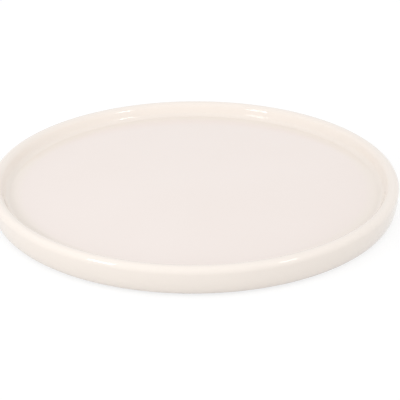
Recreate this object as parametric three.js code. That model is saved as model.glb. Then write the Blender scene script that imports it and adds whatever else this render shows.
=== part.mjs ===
// A round glazed ceramic plant saucer that stands on felt pads. Millimetres, +Z up.
// The origin is on the table, under the centre of the saucer.
// The dish is one fired piece. Each felt pad is stuck into the recess under it by a disc of adhesive.

import * as THREE from "three";

// The dish
const RIM_DIAMETER = 240; // across the widest part of the wall
const WALL_HEIGHT = 15.5; // from the foot face up to the crest of the lip
const LIP_OUTSIDE = 3.4; // from the crest of the lip out to the widest part of the wall
const LIP_CROWN = 3.6; // height of the rounded outside of the lip
const LIP_INSIDE = 4; // from the crest in to the inner wall
const LIP_INSIDE_CROWN = 4; // height of the rounded inside of the lip
const WALL_TUCK = 3; // how far the outer wall curves in on its way down to the foot
const WALL_SQUARENESS = 2.3; // of that curve: 2 is a quarter of an ellipse, more is fuller
const WALL_DRAFT = 20; // degrees that the inner wall leans, so that the well narrows downwards
const INNER_FILLET = 3.5; // radius between the floor and the inner wall
const FLOOR_THICKNESS = 5.4; // from the recess up to the floor that the pot stands on
const FOOT_WIDTH = 8; // the flat ring that is wiped clean of glaze before firing
const RECESS_DEPTH = 2; // from the foot face up to the underside of the floor
const RECESS_SLOPE = 1.6; // width of the sloped step at the edge of the recess

// The pads
const PAD_COUNT = 4;
const FIRST_PAD_ANGLE = 45; // degrees from +X
const PAD_DIAMETER = 20;
const FELT_THICKNESS = 3;
const FELT_EDGE = 0.25; // the edge that the punch leaves, as a small bevel
const ADHESIVE_THICKNESS = 0.3;
const ADHESIVE_INSET = 0.6; // the adhesive stops this far short of the felt's edge
const PAD_TO_STEP = 9; // from a pad's edge to the foot of the recess's step

// Smoothness of the round shapes
const DISH_SEGMENTS = 112;
const PAD_SEGMENTS = 40;
const WALL_STEPS = 9;
const LIP_STEPS = 7;
const FILLET_STEPS = 6;

// Places that follow from the sizes
const rimRadius = RIM_DIAMETER / 2;
const recessCeiling = FELT_THICKNESS + ADHESIVE_THICKNESS;
const footFace = recessCeiling - RECESS_DEPTH;
const floorTop = recessCeiling + FLOOR_THICKNESS;
const crest = footFace + WALL_HEIGHT;
const crestRadius = rimRadius - LIP_OUTSIDE;
const lipBase = crest - LIP_CROWN;
const footOuter = rimRadius - WALL_TUCK;
const recessOuter = footOuter - FOOT_WIDTH;
const recessInner = recessOuter - RECESS_SLOPE;
const padCircle = recessInner - PAD_TO_STEP - PAD_DIAMETER / 2;

// Points on an arc or part of an ellipse in a profile, from one angle to another, in degrees.
function arc(centreR, centreZ, radiusR, radiusZ, fromDegrees, toDegrees, steps) {
  const points = [];
  for (let i = 0; i <= steps; i++) {
    const angle = THREE.MathUtils.degToRad(fromDegrees + ((toDegrees - fromDegrees) * i) / steps);
    points.push(new THREE.Vector2(centreR + radiusR * Math.cos(angle), centreZ + radiusZ * Math.sin(angle)));
  }
  return points;
}

// The outer wall, which curves out from the foot ring and stands upright under the lip.
function outerWall() {
  const points = [];
  for (let i = 0; i < WALL_STEPS; i++) {
    const angle = (Math.PI / 2) * (1 - i / WALL_STEPS);
    const out = Math.cos(angle) ** (2 / WALL_SQUARENESS);
    const down = Math.sin(angle) ** (2 / WALL_SQUARENESS);
    const r = i === 0 ? footOuter : footOuter + WALL_TUCK * out;
    points.push(new THREE.Vector2(r, lipBase - (lipBase - footFace) * down));
  }
  return points;
}

// The inside of the lip, down to where its slope is that of the inner wall.
function lipInside() {
  const slope = Math.tan(THREE.MathUtils.degToRad(WALL_DRAFT));
  const stop = 180 - THREE.MathUtils.radToDeg(Math.atan((slope * LIP_INSIDE_CROWN) / LIP_INSIDE));
  const points = arc(crestRadius, crest - LIP_INSIDE_CROWN, LIP_INSIDE, LIP_INSIDE_CROWN, 90, stop, LIP_STEPS);
  return points.slice(1);
}

// The fillet that the inner wall runs down to, round to the floor.
function fillet(wallTop) {
  const draft = THREE.MathUtils.degToRad(WALL_DRAFT);
  const startZ = floorTop + INNER_FILLET * (1 - Math.sin(draft));
  const startR = wallTop.x - (wallTop.y - startZ) * Math.tan(draft);
  const centreR = startR - INNER_FILLET * Math.cos(draft);
  return arc(centreR, floorTop + INNER_FILLET, INNER_FILLET, INNER_FILLET, -WALL_DRAFT, -90, FILLET_STEPS);
}

// A solid turned about +Z from a profile of radius and height.
function turned(profile, segments) {
  return new THREE.LatheGeometry(profile, segments).rotateX(Math.PI / 2);
}

function dishGeometry() {
  const inside = lipInside();
  const profile = [
    new THREE.Vector2(0, recessCeiling),
    new THREE.Vector2(recessInner, recessCeiling),
    new THREE.Vector2(recessOuter, footFace),
    ...outerWall(),
    ...arc(crestRadius, lipBase, LIP_OUTSIDE, LIP_CROWN, 0, 90, LIP_STEPS),
    ...inside,
    ...fillet(inside.at(-1)),
    new THREE.Vector2(0, floorTop),
  ];
  return turned(profile, DISH_SEGMENTS);
}

// A round disc that stands on z = 0, with its two edges bevelled.
function discGeometry(diameter, thickness, bevel) {
  const radius = diameter / 2;
  const profile = [
    new THREE.Vector2(0, 0),
    new THREE.Vector2(radius - bevel, 0),
    new THREE.Vector2(radius, bevel),
    new THREE.Vector2(radius, thickness - bevel),
    new THREE.Vector2(radius - bevel, thickness),
    new THREE.Vector2(0, thickness),
  ];
  return turned(profile, PAD_SEGMENTS);
}

function adhesiveGeometry() {
  const radius = PAD_DIAMETER / 2 - ADHESIVE_INSET;
  const profile = [
    new THREE.Vector2(0, 0),
    new THREE.Vector2(radius, 0),
    new THREE.Vector2(radius, ADHESIVE_THICKNESS),
    new THREE.Vector2(0, ADHESIVE_THICKNESS),
  ];
  return turned(profile, PAD_SEGMENTS);
}

const glaze = new THREE.MeshStandardMaterial({ color: 0xf4ebe3, roughness: 0.12, metalness: 0 });
const felt = new THREE.MeshStandardMaterial({ color: 0xd9d2c6, roughness: 1, metalness: 0 });
const adhesive = new THREE.MeshStandardMaterial({ color: 0xe9e4d4, roughness: 0.45, metalness: 0 });

function named(name, geometry, material, z) {
  const mesh = new THREE.Mesh(geometry, material);
  mesh.name = name;
  mesh.position.z = z;
  return mesh;
}

// A felt pad and the adhesive that holds it, at their place in the recess.
function pad(number) {
  const angle = THREE.MathUtils.degToRad(FIRST_PAD_ANGLE + (360 * (number - 1)) / PAD_COUNT);
  const group = new THREE.Group();
  group.position.set(padCircle * Math.cos(angle), padCircle * Math.sin(angle), 0);
  group.add(named(`felt_pad_${number}`, discGeometry(PAD_DIAMETER, FELT_THICKNESS, FELT_EDGE), felt, 0));
  group.add(named(`pad_adhesive_${number}`, adhesiveGeometry(), adhesive, FELT_THICKNESS));
  return group;
}

const saucer = new THREE.Group();
saucer.add(named("dish", dishGeometry(), glaze, 0));
for (let number = 1; number <= PAD_COUNT; number++) {
  saucer.add(pad(number));
}

export default saucer;
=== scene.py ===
import math

import bpy
from mathutils import Matrix, Vector, noise


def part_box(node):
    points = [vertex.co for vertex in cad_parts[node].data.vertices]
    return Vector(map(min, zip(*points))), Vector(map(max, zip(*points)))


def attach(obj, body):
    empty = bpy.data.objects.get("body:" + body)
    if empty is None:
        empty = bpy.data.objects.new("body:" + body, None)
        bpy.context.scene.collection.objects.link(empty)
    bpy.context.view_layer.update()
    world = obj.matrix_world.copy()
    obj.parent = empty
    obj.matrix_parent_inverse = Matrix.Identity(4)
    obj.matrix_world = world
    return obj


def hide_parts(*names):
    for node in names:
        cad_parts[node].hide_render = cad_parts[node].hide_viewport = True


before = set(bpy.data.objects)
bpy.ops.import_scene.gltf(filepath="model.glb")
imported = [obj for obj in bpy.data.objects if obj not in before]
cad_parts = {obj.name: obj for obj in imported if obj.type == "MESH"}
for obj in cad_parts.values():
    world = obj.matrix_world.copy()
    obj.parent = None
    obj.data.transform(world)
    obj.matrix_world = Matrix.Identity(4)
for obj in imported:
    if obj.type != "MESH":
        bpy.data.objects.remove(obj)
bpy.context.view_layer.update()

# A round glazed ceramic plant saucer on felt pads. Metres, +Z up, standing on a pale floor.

MM = 0.001

# The dish, in the same sizes as its solid
LIP_OUTSIDE = 3.4 * MM  # from the crest out to the widest part of the wall
LIP_CROWN = 3.6 * MM  # height of the rounded outside of the lip
LIP_INSIDE = 4.0 * MM  # from the crest in to the inner wall
LIP_INSIDE_CROWN = 4.0 * MM  # height of the rounded inside of the lip
WALL_TUCK = 3.0 * MM  # how far the outer wall curves in on its way down
WALL_SQUARENESS = 2.3  # of that curve: 2 is a quarter of an ellipse, more is fuller
WALL_DRAFT = math.radians(20)  # how far the inner wall leans
INNER_FILLET = 3.5 * MM  # radius between the floor and the inner wall
FLOOR_THICKNESS = 5.4 * MM
FOOT_WIDTH = 8 * MM  # the ring that is wiped clean of glaze before firing
RECESS_DEPTH = 2.0 * MM
RECESS_SLOPE = 1.6 * MM  # width of the sloped step at the edge of the recess

# The glaze, which ends in a rounded bead at each edge of the bare foot ring
GLAZE_THICKNESS = 0.22 * MM
GLAZE_FULL_HEIGHT = 0.35 * MM  # above the foot face, where the glaze has its full thickness
BEAD_HEIGHT = 0.2 * MM  # from the foot face up to the bead
BEAD_INNER_REACH = 0.1 * MM  # from the foot of the step out to the inner bead
BEAD_OUTER_REACH = 0.15 * MM  # from the wall's foot out to the middle of the outer bead
STEP_GLAZE_INSET = 0.25 * MM  # from the foot of the step back to where the glaze is full
STEP_ROUNDING = 1 * MM  # width over which glaze rounds the top of the step
RIM_FADE = 8 * MM  # width at the edge of the floor over which the rim's tone fades out

# The edges of the bare ring, between which it's flat
RING_INNER_EDGE = 0.5 * MM  # from the foot of the step
RING_INNER_RISE = 0.03 * MM
RING_OUTER_EDGE = 0.7 * MM  # from the foot of the wall
RING_OUTER_RADIUS = 0.5 * MM

# How far fired clay and glaze depart from their true shapes
OUT_OF_ROUND = 0.06 * MM
OUT_OF_ROUND_ANGLE = -0.35  # radians from +X to the long way across
SWELL = 0.05 * MM  # how deep the surface dips
SWELL_LENGTH = 45 * MM
SWELL_SIDEWAYS = 0.3  # the share of a dip that goes in towards the middle
FOOT_FACE_DEPTH = 0.1 * MM  # what is this close to the foot face stays level
GLAZE_EDGE_WANDER = 0.35 * MM
GLAZE_EDGE_WAVES = 9  # how often the edge wanders in and out
BESIDE_EDGE_WANDER = 0.3  # the share of it that the clay and glaze beside the edge follow

# The felt and the adhesive
FELT_EDGE_RADIUS = 0.5 * MM
FELT_LUMP_LENGTH = 2.5 * MM
FELT_TUFT_LENGTH = 0.9 * MM
FELT_TUFT_SHARE = 0.6  # of the height of a lump
FELT_EDGE_WEAR = 0.18 * MM
FELT_UNDERSIDE_WEAR = 0.08 * MM
ADHESIVE_WANDER = 0.25 * MM  # of its outline
ADHESIVE_WAVES = 3  # how often the outline wanders in and out

# Smoothness of the round shapes
DISH_SEGMENTS = 288
PAD_SEGMENTS = 72
ADHESIVE_SEGMENTS = 64
PAD_COUNT = 4

# Colours
GLAZE = (0.888, 0.803, 0.762)
GLAZE_CLOUD = (0.882, 0.795, 0.751)
GLAZE_RIM = (0.885, 0.812, 0.747)
GLAZE_POOLED = (0.882, 0.804, 0.734)
# Paler glaze: real where it runs thin by the foot; on the lip's crest, a painted highlight that lightens its
# lit top
GLAZE_THIN_AND_PAINTED_HIGHLIGHT = (0.888, 0.82, 0.766)
CLAY = (0.66, 0.58, 0.48)
CLAY_DARK = (0.56, 0.48, 0.39)
FELT = (0.68, 0.61, 0.51)
FELT_DARK = (0.47, 0.41, 0.33)
FELT_CLOUD = (0.60, 0.53, 0.43)
ADHESIVE = (0.80, 0.76, 0.66)
ADHESIVE_DARK = (0.70, 0.65, 0.54)

# Gloss
GLAZE_IOR = 1.6
GLAZE_ROUGHNESS = (0.045, 0.085)
CLAY_ROUGHNESS = (0.62, 0.85)
ADHESIVE_ROUGHNESS = (0.25, 0.45)
FELT_ROUGHNESS = 0.95
FELT_SHEEN = 0.4
FELT_SHEEN_ROUGHNESS = 0.6

# The values of noise that are stretched to 0 and 1
SOFT = (0.35, 0.65)
SOFTER = (0.3, 0.7)

# How strongly the glaze's tones show, and how deep it pools
POOLED_SHARE = 0.6
THIN_AND_PAINTED_HIGHLIGHT_SHARE = 0.5
STEP_POOL = 0.6
WALL_POOL = 0.3

# The camera, which stands where the photograph's did
PICTURE = 400  # pixels each way
CENTRE_X, CENTRE_Y = 194.2, 194.1  # where the photograph shows the middle of the foot's plane
FOCAL_PIXELS = 1103
SENSOR_WIDTH = 36
CAMERA_RADII = 5.5  # the camera's distance, in radii of the rim
CAMERA_ELEVATION = math.radians(25.23)
CAMERA_ROLL = math.radians(-0.28)

# The room
ROOM_LIGHT = 1.11
ROOM_TILT = (-0.066, -0.387, 0.0)  # towards where the room is brighter, and by how much
ROOM_TILT_OVERHEAD = (0.06, 0.235, -0.349)  # what is added to that tilt towards the zenith
TABLE_WHITE = 0.62
TABLE_HALF = 3.0
SHADOW_SHARE = 0.25  # how much of its shadows the table shows
SHADOW_BASE = 0.9  # the light on the open table, at which it comes out white

# The lamps: a softbox at each side and, just behind it, a glint that only the gloss shows
LEFT_LAMP = Vector((-0.325, -0.307, 0.252))
RIGHT_LAMP = Vector((0.474, -0.368, 0.472))
LAMP_WIDTH = 0.115
LAMP_HEIGHT = 0.08
LEFT_RADIANCE = 8.4
LEFT_GLINT = 3
RIGHT_RADIANCE = 5.6
RIGHT_GLINT = 10
GLINT_BEHIND = 1.02  # the glint's distance, as a share of the softbox's
LEFT_TINT = (1.0, 0.99, 0.98)
RIGHT_TINT = (1.0, 0.99, 0.97)
WHITE = (1.0, 1.0, 1.0)

# Places that follow from the frame and the sizes
dish_low, dish_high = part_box("dish")
rim_radius = dish_high.x
crest = dish_high.z
foot_face = dish_low.z
recess_ceiling = foot_face + RECESS_DEPTH
floor_top = recess_ceiling + FLOOR_THICKNESS
crest_radius = rim_radius - LIP_OUTSIDE
lip_base = crest - LIP_CROWN
foot_outer = rim_radius - WALL_TUCK
recess_outer = foot_outer - FOOT_WIDTH
recess_inner = recess_outer - RECESS_SLOPE


# Meshes

def make_object(name, vertices, faces, materials, face_materials=None):
    """A smooth-shaded object from vertices and faces, with a material index for each face."""
    mesh = bpy.data.meshes.new(name)
    mesh.from_pydata(vertices, [], faces)
    for material in materials:
        mesh.materials.append(material)
    if face_materials:
        mesh.polygons.foreach_set("material_index", face_materials)
    mesh.polygons.foreach_set("use_smooth", [True] * len(mesh.polygons))
    mesh.update()
    piece = bpy.data.objects.new(name, mesh)
    bpy.context.scene.collection.objects.link(piece)
    return piece


def arc(centre_r, centre_z, radius, start, stop, steps):
    """Points (r, z) on a round arc between two angles in degrees, with both ends."""
    points = []
    for i in range(steps + 1):
        angle = math.radians(start + (stop - start) * i / steps)
        points.append((centre_r + radius * math.cos(angle), centre_z + radius * math.sin(angle)))
    return points


def squared_arc(centre, across, up, square, start, stop, steps):
    """Part of a quarter of a squared ellipse, between two angles in degrees from its widest point."""
    points = []
    for i in range(steps + 1):
        angle = math.radians(start + (stop - start) * i / steps)
        out = max(math.cos(angle), 0) ** (2 / square)
        rise = max(math.sin(angle), 0) ** (2 / square)
        points.append((centre[0] + across * out, centre[1] + up * rise))
    return points


def line(start, stop, steps):
    """Points between two points, with the last but not the first."""
    points = []
    for i in range(1, steps + 1):
        t = i / steps
        points.append((start[0] + (stop[0] - start[0]) * t, start[1] + (stop[1] - start[1]) * t))
    return points


def turned(name, profile, segments, materials, shift, marks=None, bare=None):
    """A solid turned about Z from a profile that starts and ends on the axis.

    shift(i, angle) gives the change (dr, dz) of profile point i at an angle.
    marks is a dict of attribute name to one value for each profile point.
    bare says for each profile point whether the band above it has the second material.
    """
    vertices = []
    for i, (r, z) in enumerate(profile[1:-1], start=1):
        for k in range(segments):
            angle = 2 * math.pi * k / segments
            dr, dz = shift(i, angle)
            vertices.append(((r + dr) * math.cos(angle), (r + dr) * math.sin(angle), z + dz))
    rings = len(profile) - 2
    first = len(vertices)
    vertices.append((0, 0, profile[0][1] + shift(0, 0)[1]))
    last = len(vertices)
    vertices.append((0, 0, profile[-1][1] + shift(len(profile) - 1, 0)[1]))
    band = [int(value) for value in bare] if bare else [0] * len(profile)
    faces = []
    face_materials = []
    for k in range(segments):
        n = (k + 1) % segments
        faces.append((first, n, k))
        face_materials.append(band[0])
        for j in range(rings - 1):
            low, high = j * segments, (j + 1) * segments
            faces.append((low + k, low + n, high + n, high + k))
            face_materials.append(band[j + 1])
        top = (rings - 1) * segments
        faces.append((last, top + k, top + n))
        face_materials.append(band[rings])
    piece = make_object(name, vertices, faces, materials, face_materials)
    for mark, values in (marks or {}).items():
        layer = piece.data.attributes.new(mark, "FLOAT", "POINT")
        ring_values = [value for value in values[1:-1] for _ in range(segments)]
        layer.data.foreach_set("value", ring_values + [values[0], values[-1]])
    return piece


# Nodes

def new_material(name):
    """A material with its tree of nodes and its main shader."""
    material = bpy.data.materials.new(name)
    material.use_nodes = True
    return material, material.node_tree, material.node_tree.nodes["Principled BSDF"]


def add_node(tree, kind, values=(), **settings):
    """A node with its settings, and its input sockets set by name or number."""
    node = tree.nodes.new(kind)
    for key, value in settings.items():
        setattr(node, key, value)
    for key, value in dict(values).items():
        node.inputs[key].default_value = value
    return node


def calculate(tree, operation, *values):
    """A sum on values that are sockets or numbers."""
    node = add_node(tree, "ShaderNodeMath", operation=operation)
    for socket, value in zip(node.inputs, values):
        if isinstance(value, (int, float)):
            socket.default_value = value
        else:
            tree.links.new(value, socket)
    return node.outputs[0]


def object_noise(tree, feature, detail=2.0, roughness=0.5, stretch=(1, 1, 1)):
    """Noise fixed to the object, with features of about the given size in metres."""
    where = add_node(tree, "ShaderNodeTexCoord")
    scale = add_node(tree, "ShaderNodeMapping", {"Scale": stretch})
    tree.links.new(where.outputs["Object"], scale.inputs["Vector"])
    settings = {"Scale": 1 / feature, "Detail": detail, "Roughness": roughness}
    texture = add_node(tree, "ShaderNodeTexNoise", settings)
    tree.links.new(scale.outputs["Vector"], texture.inputs["Vector"])
    return texture.outputs["Fac"]


def remap(tree, value, low, high, to_low=0.0, to_high=1.0):
    """A value stretched from one range to another and held inside it."""
    ranges = {"From Min": low, "From Max": high, "To Min": to_low, "To Max": to_high}
    node = add_node(tree, "ShaderNodeMapRange", ranges)
    tree.links.new(value, node.inputs["Value"])
    return node.outputs["Result"]


def blend_colours(tree, factor, first, second):
    """A mix of two colours, each a socket or a tuple, by a factor socket."""
    node = add_node(tree, "ShaderNodeMix", data_type="RGBA")
    tree.links.new(factor, node.inputs["Factor"])
    for socket, colour in (("A", first), ("B", second)):
        target = next(s for s in node.inputs if s.name == socket and s.type == "RGBA")
        if isinstance(colour, tuple):
            target.default_value = (*colour, 1)
        else:
            tree.links.new(colour, target)
    return next(s for s in node.outputs if s.type == "RGBA")


def bump(tree, shader, height, depth, before=None):
    """Adds a bump to the shader's normal, on top of another bump if one is given."""
    node = add_node(tree, "ShaderNodeBump", {"Distance": depth, "Strength": 1.0})
    tree.links.new(height, node.inputs["Height"])
    if before:
        tree.links.new(before, node.inputs["Normal"])
    tree.links.new(node.outputs["Normal"], shader.inputs["Normal"])
    return node.outputs["Normal"]


# Materials

def glaze_material():
    """Glossy warm white glaze, yellower on the rim, deeper where it pools, paler where it runs thin by the
    foot, and painted paler on the lip's crest as a painted highlight.
    """
    material, tree, shader = new_material("warm_white_glaze")
    shader.inputs["IOR"].default_value = GLAZE_IOR
    clouds = remap(tree, object_noise(tree, 60 * MM), *SOFT)
    tone = blend_colours(tree, clouds, GLAZE, GLAZE_CLOUD)
    # The thin tone also paints the lip's crest paler, a painted highlight on its lit top
    tones = (("rim", 1, GLAZE_RIM), ("pool", POOLED_SHARE, GLAZE_POOLED), ("thin", THIN_AND_PAINTED_HIGHLIGHT_SHARE, GLAZE_THIN_AND_PAINTED_HIGHLIGHT))
    for mark, share, colour in tones:
        marked = add_node(tree, "ShaderNodeAttribute", attribute_name=mark).outputs["Fac"]
        tone = blend_colours(tree, remap(tree, marked, 0, 1, 0, share), tone, colour)
    tree.links.new(tone, shader.inputs["Base Color"])
    gloss = remap(tree, object_noise(tree, 14 * MM, detail=4), *SOFTER, *GLAZE_ROUGHNESS)
    tree.links.new(gloss, shader.inputs["Roughness"])
    ripple = bump(tree, shader, object_noise(tree, 9 * MM, detail=1), depth=0.04 * MM)
    bump(tree, shader, object_noise(tree, 1.2 * MM, detail=2), depth=0.002 * MM, before=ripple)
    return material


def clay_material():
    """Bare fired clay, sanded flat, with fine grain and pits."""
    material, tree, shader = new_material("bare_fired_clay")
    patches = remap(tree, object_noise(tree, 5 * MM, detail=5, roughness=0.6), *SOFTER)
    tree.links.new(blend_colours(tree, patches, CLAY, CLAY_DARK), shader.inputs["Base Color"])
    rough = remap(tree, object_noise(tree, 1 * MM, detail=4), *SOFTER, *CLAY_ROUGHNESS)
    tree.links.new(rough, shader.inputs["Roughness"])
    grain = bump(tree, shader, object_noise(tree, 0.35 * MM, detail=4, roughness=0.7), depth=0.06 * MM)
    bump(tree, shader, object_noise(tree, 2.2 * MM, detail=3), depth=0.05 * MM, before=grain)
    return material


def felt_material():
    """Pressed wool felt, with tangled fibres and a soft sheen."""
    material, tree, shader = new_material("pressed_felt")
    shader.inputs["Roughness"].default_value = FELT_ROUGHNESS
    shader.inputs["Sheen Weight"].default_value = FELT_SHEEN
    shader.inputs["Sheen Roughness"].default_value = FELT_SHEEN_ROUGHNESS
    lengthwise = object_noise(tree, 0.5 * MM, detail=4, roughness=0.7, stretch=(4, 1, 1))
    crosswise = object_noise(tree, 0.5 * MM, detail=4, roughness=0.7, stretch=(1, 4, 1))
    fibres = calculate(tree, "MAXIMUM", lengthwise, crosswise)
    tone = blend_colours(tree, remap(tree, fibres, 0.4, 0.75), FELT_DARK, FELT)
    clouds = remap(tree, object_noise(tree, 4 * MM, detail=3), *SOFT, 0, 0.5)
    tree.links.new(blend_colours(tree, clouds, tone, FELT_CLOUD), shader.inputs["Base Color"])
    bump(tree, shader, fibres, depth=0.25 * MM)
    return material


def adhesive_material():
    """Milky acrylic adhesive film, slightly uneven."""
    material, tree, shader = new_material("acrylic_adhesive")
    clouds = remap(tree, object_noise(tree, 3 * MM, detail=3), *SOFT)
    tree.links.new(blend_colours(tree, clouds, ADHESIVE, ADHESIVE_DARK), shader.inputs["Base Color"])
    rough = remap(tree, object_noise(tree, 1.5 * MM, detail=3), *SOFTER, *ADHESIVE_ROUGHNESS)
    tree.links.new(rough, shader.inputs["Roughness"])
    bump(tree, shader, object_noise(tree, 0.8 * MM, detail=3), depth=0.05 * MM)
    return material


# The dish

class DishProfile:
    """The dish's profile, with what the glaze does at each of its points.

    The marks rim, pool and thin go from 0 to 1: on the rim, where glaze pools, and, for thin, where glaze
    runs thin by the foot and where the lip's crest is painted paler as a painted highlight.
    wander is how far the glaze's edge wanders there, and bare says that the clay shows.
    """

    def __init__(self):
        self.points = []
        self.marks = {"rim": [], "pool": [], "thin": []}
        self.wander = []
        self.bare = []

    def run(self, new_points, rim=0.0, pool=0.0, thin=0.0, wander=0.0, bare=False):
        """Adds points. A mark is a number, or a function of the share of the way along them."""
        for n, point in enumerate(new_points):
            share = n / max(len(new_points) - 1, 1)
            self.points.append(point)
            for mark, value in (("rim", rim), ("pool", pool), ("thin", thin)):
                self.marks[mark].append(value(share) if callable(value) else value)
            self.wander.append(wander)
            self.bare.append(bare)


def run_underside(profile):
    """The glazed recess, its step down to the foot, and the bare ring."""
    middle = (0, recess_ceiling)
    profile.run([middle] + line(middle, (recess_inner - STEP_ROUNDING, recess_ceiling), 26))
    step_top = (recess_inner - STEP_ROUNDING / 2, recess_ceiling)
    step_foot = (recess_outer - STEP_GLAZE_INSET, foot_face + GLAZE_FULL_HEIGHT)
    profile.run([step_top], pool=STEP_POOL)
    step = line(step_top, step_foot, 4)
    profile.run(step, pool=lambda s: STEP_POOL * (1 - s), thin=lambda s: s, wander=BESIDE_EDGE_WANDER)
    bead = (recess_outer + BEAD_INNER_REACH, foot_face + BEAD_HEIGHT)
    profile.run([bead], thin=1, wander=1, bare=True)
    ring_start = recess_outer + RING_INNER_EDGE
    ring_end = foot_outer - RING_OUTER_EDGE
    profile.run([(ring_start, foot_face + RING_INNER_RISE)], bare=True)
    profile.run(line((ring_start, foot_face), (ring_end, foot_face), 8), bare=True)
    edge = arc(ring_end, foot_face + RING_OUTER_RADIUS, RING_OUTER_RADIUS, -80, -35, 3)
    profile.run(edge, wander=BESIDE_EDGE_WANDER, bare=True)


def inner_wall_line():
    """The two ends of the straight part of the inner wall, and the angle where the lip's curve meets it."""
    angle = math.atan(math.tan(WALL_DRAFT) * LIP_INSIDE_CROWN / LIP_INSIDE)
    top_r = crest_radius - LIP_INSIDE * math.cos(angle)
    top_z = crest - LIP_INSIDE_CROWN + LIP_INSIDE_CROWN * math.sin(angle)
    low_z = floor_top + INNER_FILLET * (1 - math.sin(WALL_DRAFT))
    low_r = top_r - (top_z - low_z) * math.tan(WALL_DRAFT)
    return (low_r, low_z), (top_r, top_z), math.degrees(angle)


def run_outside(profile):
    """The bead at the wall's foot, the outer wall, and the outside of the lip up to its crest."""
    bead = GLAZE_THICKNESS / 2
    bead_arc = arc(foot_outer + BEAD_OUTER_REACH, foot_face + BEAD_HEIGHT + bead, bead, 200, 290, 3)
    profile.run(bead_arc, rim=1, thin=1, wander=1)
    wall = squared_arc((foot_outer, lip_base), WALL_TUCK, -(lip_base - foot_face), WALL_SQUARENESS, 86, 0, 26)
    wall = [point for point in wall if point[1] > foot_face + GLAZE_FULL_HEIGHT]
    profile.run(wall, rim=1, pool=lambda s: WALL_POOL * (1 - s), thin=lambda s: (1 - s) ** 4)
    lip = squared_arc((crest_radius, lip_base), LIP_OUTSIDE, LIP_CROWN, 2, 0, 90, 20)
    # Towards the crest the thin mark paints the lip's lit top paler: a painted highlight
    profile.run(lip[1:], rim=1, thin=lambda s: s ** 2)


def run_inside(profile):
    """The inside of the lip, the inner wall, the fillet where glaze pools, and the floor."""
    low, top, start = inner_wall_line()
    centre = (crest_radius, crest - LIP_INSIDE_CROWN)
    lip = squared_arc(centre, -LIP_INSIDE, LIP_INSIDE_CROWN, 2, 90, start, 20)
    # Near the crest the thin mark paints the lip's lit top paler: a painted highlight
    profile.run(lip[1:], rim=1, thin=lambda s: (1 - s) ** 2)
    profile.run(line(top, low, 4)[:-1], rim=1, pool=lambda s: WALL_POOL * s)
    edge = low[0] - INNER_FILLET * math.cos(WALL_DRAFT)
    fillet = arc(edge, floor_top + INNER_FILLET, INNER_FILLET, -math.degrees(WALL_DRAFT), -90, 16)
    profile.run(fillet, rim=1, pool=lambda s: WALL_POOL + (1 - WALL_POOL) * math.sin(math.pi * s) ** 2)
    border = line((edge, floor_top), (edge - RIM_FADE, floor_top), 4)
    profile.run(border, rim=lambda s: 1 - s, pool=lambda s: WALL_POOL * (1 - s))
    profile.run(line((edge - RIM_FADE, floor_top), (0, floor_top), 30))


def make_dish(glaze, clay):
    """The dish, turned from its profile and then made a little uneven."""
    profile = DishProfile()
    run_underside(profile)
    run_outside(profile)
    run_inside(profile)

    def uneven(i, angle):
        """Hand-finished clay isn't perfectly round, and glaze settles a little unevenly."""
        r, z = profile.points[i]
        place = Vector((r * math.cos(angle), r * math.sin(angle), z))
        swell = abs(noise.noise(place / SWELL_LENGTH) * SWELL)
        around = Vector((math.cos(angle), math.sin(angle), 3))
        edge = noise.noise(around * GLAZE_EDGE_WAVES) * GLAZE_EDGE_WANDER * profile.wander[i]
        oval = OUT_OF_ROUND * math.cos(2 * (angle - OUT_OF_ROUND_ANGLE)) * (r / rim_radius) ** 2
        level = z < foot_face + FOOT_FACE_DEPTH
        return oval + edge - swell * SWELL_SIDEWAYS, 0 if level else -swell

    finish = [glaze, clay]
    dish = turned("glazed_dish", profile.points, DISH_SEGMENTS, finish, uneven, profile.marks, profile.bare)
    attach(dish, "root")
    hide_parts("dish")


# The felt pads and their adhesive

def make_pad(number, felt):
    """A punched disc of pressed felt, its edge softened and its faces a little uneven."""
    low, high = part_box(f"felt_pad_{number}")
    centre = (low + high) / 2
    radius = (high.x - low.x) / 2
    corner = radius - FELT_EDGE_RADIUS
    profile = [(0, low.z)] + line((0, low.z), (corner, low.z), 18)
    profile += arc(corner, low.z + FELT_EDGE_RADIUS, FELT_EDGE_RADIUS, -75, 0, 4)
    profile += line(profile[-1], (radius, high.z - FELT_EDGE_RADIUS), 4)
    profile += arc(corner, high.z - FELT_EDGE_RADIUS, FELT_EDGE_RADIUS, 15, 90, 4)
    profile += line(profile[-1], (0, high.z), 8)

    def uneven(i, angle):
        r, z = profile[i]
        place = Vector((centre.x + r * math.cos(angle), centre.y + r * math.sin(angle), z))
        lump = noise.noise(place / FELT_LUMP_LENGTH) + FELT_TUFT_SHARE * noise.noise(place / FELT_TUFT_LENGTH)
        at_edge = max(0, (r - radius + 2 * FELT_EDGE_RADIUS) / (2 * FELT_EDGE_RADIUS))
        rise = abs(lump) * FELT_UNDERSIDE_WEAR if z < centre.z else 0
        return -abs(lump) * FELT_EDGE_WEAR * at_edge, rise

    pad = turned(f"felt_disc_{number}", profile, PAD_SEGMENTS, [felt], uneven)
    pad.data.transform(Matrix.Translation((centre.x, centre.y, 0)))
    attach(pad, "root")
    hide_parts(f"felt_pad_{number}")


def make_adhesive(number, adhesive):
    """A thin disc of adhesive, squeezed out a little unevenly."""
    low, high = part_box(f"pad_adhesive_{number}")
    centre = (low + high) / 2
    radius = (high.x - low.x) / 2
    half = (high.z - low.z) / 2
    profile = [(0, low.z)] + line((0, low.z), (radius - half, low.z), 6)
    profile += arc(radius - half, centre.z, half, -70, 70, 6)
    profile += line(profile[-1], (0, high.z), 6)

    def uneven(i, angle):
        r = profile[i][0]
        around = Vector((math.cos(angle), math.sin(angle), number))
        return noise.noise(around * ADHESIVE_WAVES) * ADHESIVE_WANDER * (r / radius) ** 4, 0

    disc = turned(f"adhesive_disc_{number}", profile, ADHESIVE_SEGMENTS, [adhesive], uneven)
    disc.data.transform(Matrix.Translation((centre.x, centre.y, 0)))
    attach(disc, "root")
    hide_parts(f"pad_adhesive_{number}")


# The studio

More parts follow.
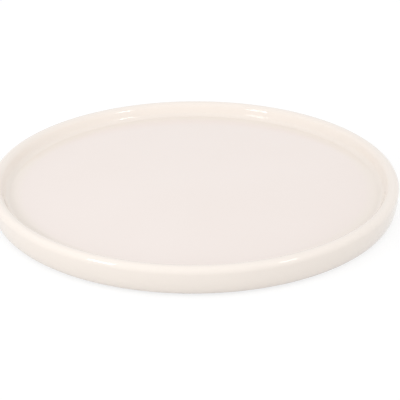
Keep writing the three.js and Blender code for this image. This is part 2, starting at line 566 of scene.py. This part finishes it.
def make_camera():
    """The photograph's view of the saucer."""
    data = bpy.data.cameras.new("camera")
    data.sensor_width = SENSOR_WIDTH
    data.lens = FOCAL_PIXELS * SENSOR_WIDTH / PICTURE
    data.shift_x = (PICTURE / 2 - CENTRE_X) / PICTURE
    data.shift_y = (CENTRE_Y - PICTURE / 2) / PICTURE
    camera = bpy.data.objects.new("camera", data)
    back = Vector((0, -math.cos(CAMERA_ELEVATION), math.sin(CAMERA_ELEVATION)))
    turn = back.to_track_quat("Z", "Y").to_matrix().to_4x4() @ Matrix.Rotation(CAMERA_ROLL, 4, "Z")
    place = Vector((0, 0, foot_face)) + back * (CAMERA_RADII * rim_radius)
    camera.matrix_world = Matrix.Translation(place) @ turn
    bpy.context.scene.collection.objects.link(camera)
    bpy.context.scene.camera = camera


def seen_directly(tree):
    """1 for rays from the camera and for reflected and transmitted ones, 0 for diffuse light."""
    path = add_node(tree, "ShaderNodeLightPath")
    total = path.outputs["Is Camera Ray"]
    for name in ("Is Glossy Ray", "Is Transmission Ray"):
        total = calculate(tree, "MAXIMUM", total, path.outputs[name])
    return total


def surface_by_view(tree, output, lighting, seen):
    """One shader for the light that a surface sends on, and another for what the eye sees of it."""
    mix = add_node(tree, "ShaderNodeMixShader")
    out = add_node(tree, output)
    tree.links.new(seen_directly(tree), mix.inputs[0])
    tree.links.new(lighting.outputs[0], mix.inputs[1])
    tree.links.new(seen.outputs[0], mix.inputs[2])
    tree.links.new(mix.outputs[0], out.inputs["Surface"])


def tilt_level(tree, direction, tilt):
    """How far a direction points along a tilt."""
    node = add_node(tree, "ShaderNodeVectorMath", {1: tilt}, operation="DOT_PRODUCT")
    tree.links.new(direction, node.inputs[0])
    return node.outputs["Value"]


def make_world():
    """A white room that lights the object softly, and a little more from some sides."""
    world = bpy.data.worlds.new("studio")
    bpy.context.scene.world = world
    world.use_nodes = True
    tree = world.node_tree
    tree.nodes.clear()
    direction = add_node(tree, "ShaderNodeTexCoord").outputs["Generated"]
    height = add_node(tree, "ShaderNodeSeparateXYZ")
    tree.links.new(direction, height.inputs[0])
    level = tilt_level(tree, direction, ROOM_TILT)
    overhead = tilt_level(tree, direction, ROOM_TILT_OVERHEAD)
    rising = calculate(tree, "MULTIPLY_ADD", overhead, height.outputs["Z"], level)
    room = add_node(tree, "ShaderNodeBackground", {"Color": (*WHITE, 1)})
    tree.links.new(calculate(tree, "ADD", rising, ROOM_LIGHT), room.inputs["Strength"])
    white = add_node(tree, "ShaderNodeBackground", {"Color": (*WHITE, 1), "Strength": 1})
    surface_by_view(tree, "ShaderNodeOutputWorld", room, white)


def diffuse_grey(tree, value):
    """A plain matt grey, from black at 0 to white at 1."""
    return add_node(tree, "ShaderNodeBsdfDiffuse", {"Color": (value, value, value, 1)})


def make_floor():
    """A wide pale floor that is white to the eye and keeps a faint shadow."""
    corners = [(x * TABLE_HALF, y * TABLE_HALF, 0) for x, y in ((-1, -1), (1, -1), (1, 1), (-1, 1))]
    material = bpy.data.materials.new("pale_floor")
    material.use_nodes = True
    tree = material.node_tree
    tree.nodes.clear()
    seen = add_node(tree, "ShaderNodeAddShader")
    glow = add_node(tree, "ShaderNodeEmission", {"Strength": 1 - SHADOW_SHARE * SHADOW_BASE})
    tree.links.new(diffuse_grey(tree, SHADOW_SHARE).outputs[0], seen.inputs[0])
    tree.links.new(glow.outputs[0], seen.inputs[1])
    surface_by_view(tree, "ShaderNodeOutputMaterial", diffuse_grey(tree, TABLE_WHITE), seen)
    make_object("studio_floor", corners, [(0, 1, 2, 3)], [material])


def make_lamp(name, place, radiance, colour, glint_only=False):
    """A strip softbox that faces the middle of the saucer, and may be seen in the gloss alone."""
    data = bpy.data.lights.new(name, "AREA")
    data.shape = "RECTANGLE"
    data.size = LAMP_WIDTH
    data.size_y = LAMP_HEIGHT
    data.energy = radiance * math.pi * LAMP_WIDTH * LAMP_HEIGHT
    data.color = colour
    lamp = bpy.data.objects.new(name, data)
    lamp.matrix_world = Matrix.Translation(place) @ place.to_track_quat("Z", "Y").to_matrix().to_4x4()
    lamp.visible_diffuse = not glint_only
    bpy.context.scene.collection.objects.link(lamp)


def make_studio():
    """The room, the table and the lamps."""
    bpy.context.scene.view_settings.view_transform = "Standard"
    make_world()
    make_floor()
    make_lamp("left_softbox", LEFT_LAMP, LEFT_RADIANCE, LEFT_TINT)
    make_lamp("right_softbox", RIGHT_LAMP, RIGHT_RADIANCE, RIGHT_TINT)
    make_lamp("right_glint", RIGHT_LAMP * GLINT_BEHIND, RIGHT_GLINT, WHITE, glint_only=True)
    make_lamp("left_glint", LEFT_LAMP * GLINT_BEHIND, LEFT_GLINT, WHITE, glint_only=True)


make_camera()
make_dish(glaze_material(), clay_material())
felt = felt_material()
adhesive = adhesive_material()
for number in range(1, PAD_COUNT + 1):
    make_pad(number, felt)
    make_adhesive(number, adhesive)
make_studio()
